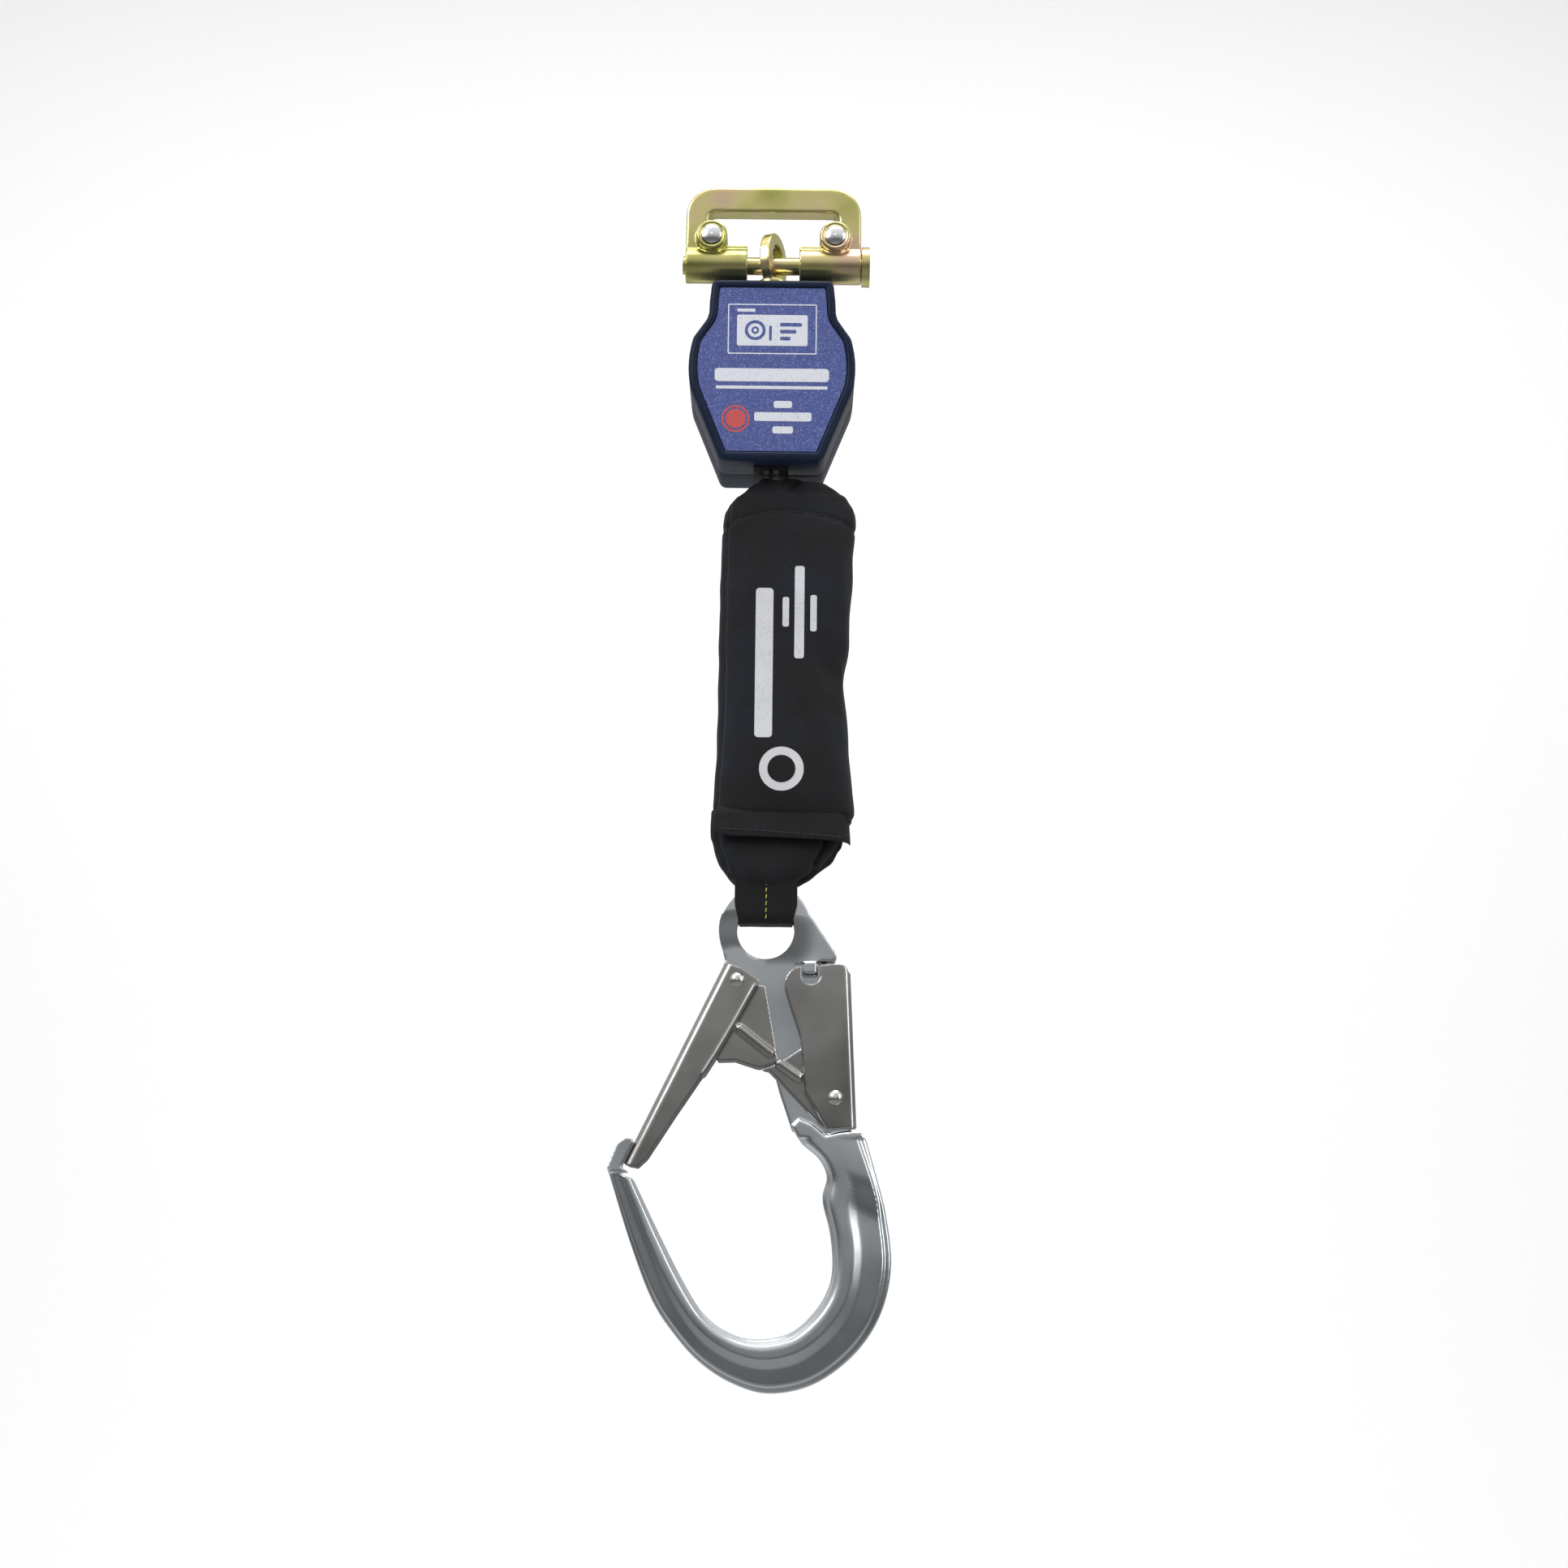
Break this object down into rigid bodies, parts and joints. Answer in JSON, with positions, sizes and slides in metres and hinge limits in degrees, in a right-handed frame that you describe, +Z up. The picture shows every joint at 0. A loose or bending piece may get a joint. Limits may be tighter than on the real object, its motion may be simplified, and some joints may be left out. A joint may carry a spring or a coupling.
{
  "type": "self retracting lifeline",
  "caption": "Compact personal self retracting lifeline with a pin-locked harness connector, a webbing reel, a covered energy absorber and a rebar hook.",
  "frame": {"origin": "centre of the harness connector's locking pin", "axes": "+X along the pin towards its head, -Y the labelled front, +Z up; the lifeline hangs along -Z"},
  "size_m": [0.1198, 0.046, 0.53],
  "materials": {
    "zinc_yellow": "yellow zinc plating over forged steel, slightly iridescent",
    "button_steel": "polished domed steel",
    "spring_steel": "plain spring steel",
    "plain_steel": "zinc plated steel",
    "bronze": "sintered bronze",
    "housing_plastic": "satin dark navy moulded nylon",
    "label_film": "satin blue film with a fine sparkle",
    "guide_plastic": "black moulded plastic",
    "drum_metal": "machined aluminium",
    "webbing": "black aramid webbing with a yellow lock stitch",
    "absorber_webbing": "folded tear webbing",
    "wrap_film": "shrink film",
    "cover_fabric": "black flame-resistant twill",
    "hook_aluminium": "forged and tumbled aluminium",
    "sheet_steel": "polished sheet steel",
    "rivet_steel": "domed steel rivets"
  },
  "bodies": {
    "connector": {"connector_body": "zinc_yellow", "button_springs": "spring_steel"},
    "pin": {"locking_pin": "zinc_yellow", "lock_springs": "spring_steel"},
    "left_button": {"lock_button_left": "button_steel"},
    "right_button": {"lock_button_right": "button_steel"},
    "swivel": {"swivel_eye": "zinc_yellow", "swivel_nut": "plain_steel"},
    "housing": {"thrust_washers": "plain_steel", "swivel_bush": "bronze", "front_housing": "housing_plastic", "rear_housing": "housing_plastic", "front_label": "label_film", "rear_label": "label_film", "housing_screws": "plain_steel", "load_frame": "plain_steel", "web_guide": "guide_plastic", "drum_shaft": "plain_steel", "spring_cup": "plain_steel", "power_spring": "spring_steel", "ratchet_ring": "plain_steel", "lifeline_web": "webbing"},
    "reel": {"drum": "drum_metal", "shaft_bushes": "bronze", "wound_webbing": "webbing", "spring_arbor": "plain_steel", "pawl_carrier": "plain_steel", "pawl_pins": "plain_steel", "pawl_springs": "spring_steel"},
    "first_pawl": {"pawl_a": "plain_steel"},
    "second_pawl": {"pawl_b": "plain_steel"},
    "absorber": {"absorber_upper_loop": "webbing", "absorber_pack": "absorber_webbing", "absorber_wrap": "wrap_film", "absorber_lower_web": "webbing", "cover_sleeve": "cover_fabric", "cover_gusset": "cover_fabric", "cover_flap": "cover_fabric", "cover_pouch": "cover_fabric"},
    "hook": {"eye_loop": "webbing", "hook_body": "hook_aluminium", "gate_rivet": "rivet_steel", "lever_rivet": "rivet_steel", "gate_spring": "spring_steel", "lever_spring": "spring_steel"},
    "gate": {"gate": "sheet_steel"},
    "lever": {"lock_lever": "sheet_steel"}
  },
  "joints": [
    {"name": "pin_slide", "type": "slide", "parent": "connector", "child": "pin", "axis": [1, 0, 0], "range_m": [0, 0.0525], "deforming": ["lock_springs"]},
    {"name": "left_button_press", "type": "slide", "parent": "connector", "child": "left_button", "axis": [0, 1, 0], "range_m": [0, 0.0025], "stiffness_N_per_m": 1500, "springref_m": -0.003, "deforming": ["button_springs"]},
    {"name": "right_button_press", "type": "slide", "parent": "connector", "child": "right_button", "axis": [0, 1, 0], "range_m": [0, 0.0025], "stiffness_N_per_m": 1500, "springref_m": -0.003},
    {"name": "connector_swing", "type": "hinge", "parent": "connector", "child": "swivel", "pos_m": [0, 0, 0], "axis": [1, 0, 0], "range_deg": [-80, 80]},
    {"name": "swivel_turn", "type": "hinge", "parent": "swivel", "child": "housing", "pos_m": [0, 0, 0], "axis": [0, 0, 1], "continuous": true},
    {"name": "lifeline_payout", "type": "slide", "parent": "housing", "child": "absorber", "axis": [0, 0, -1], "range_m": [0, 1.3], "stiffness_N_per_m": 6, "springref_m": -2.6, "deforming": ["lifeline_web"]},
    {"name": "drum_turn", "type": "hinge", "parent": "housing", "child": "reel", "pos_m": [0, 0, -0.056], "axis": [0, -1, 0], "range_deg": [0, 3960]},
    {"name": "pawl_a_swing", "type": "hinge", "parent": "reel", "child": "first_pawl", "pos_m": [0.011, 0, -0.056], "axis": [0, 1, 0], "range_deg": [0, 13], "stiffness_Nm_per_rad": 0.002, "springref_deg": -28.65},
    {"name": "pawl_b_swing", "type": "hinge", "parent": "reel", "child": "second_pawl", "pos_m": [-0.011, 0, -0.056], "axis": [0, 1, 0], "range_deg": [0, 13], "stiffness_Nm_per_rad": 0.002, "springref_deg": -28.65},
    {"name": "hook_swing", "type": "hinge", "parent": "absorber", "child": "hook", "pos_m": [0, 0, -0.283], "axis": [1, 0, 0], "range_deg": [-45, 45], "deforming": ["absorber_lower_web"]},
    {"name": "gate_swing", "type": "hinge", "parent": "hook", "child": "gate", "pos_m": [-0.0119, 0, -0.3224], "axis": [0, -1, 0], "range_deg": [0, 43], "stiffness_Nm_per_rad": 0.15, "springref_deg": -45.84, "deforming": ["gate_spring"]},
    {"name": "lever_squeeze", "type": "hinge", "parent": "hook", "child": "lever", "pos_m": [0.0303, 0, -0.372], "axis": [0, -1, 0], "range_deg": [0, 1.72], "stiffness_Nm_per_rad": 0.6, "springref_deg": -28.65, "deforming": ["lever_spring"]}
  ],
  "couplings": [
    {"joint": "drum_turn", "follows": "lifeline_payout", "rad_per_m": 53.165},
    {"joint": "pawl_b_swing", "follows": "pawl_a_swing", "ratio": 1},
    {"joint": "lever_squeeze", "follows": "gate_swing", "ratio": 0.039996}
  ]
}
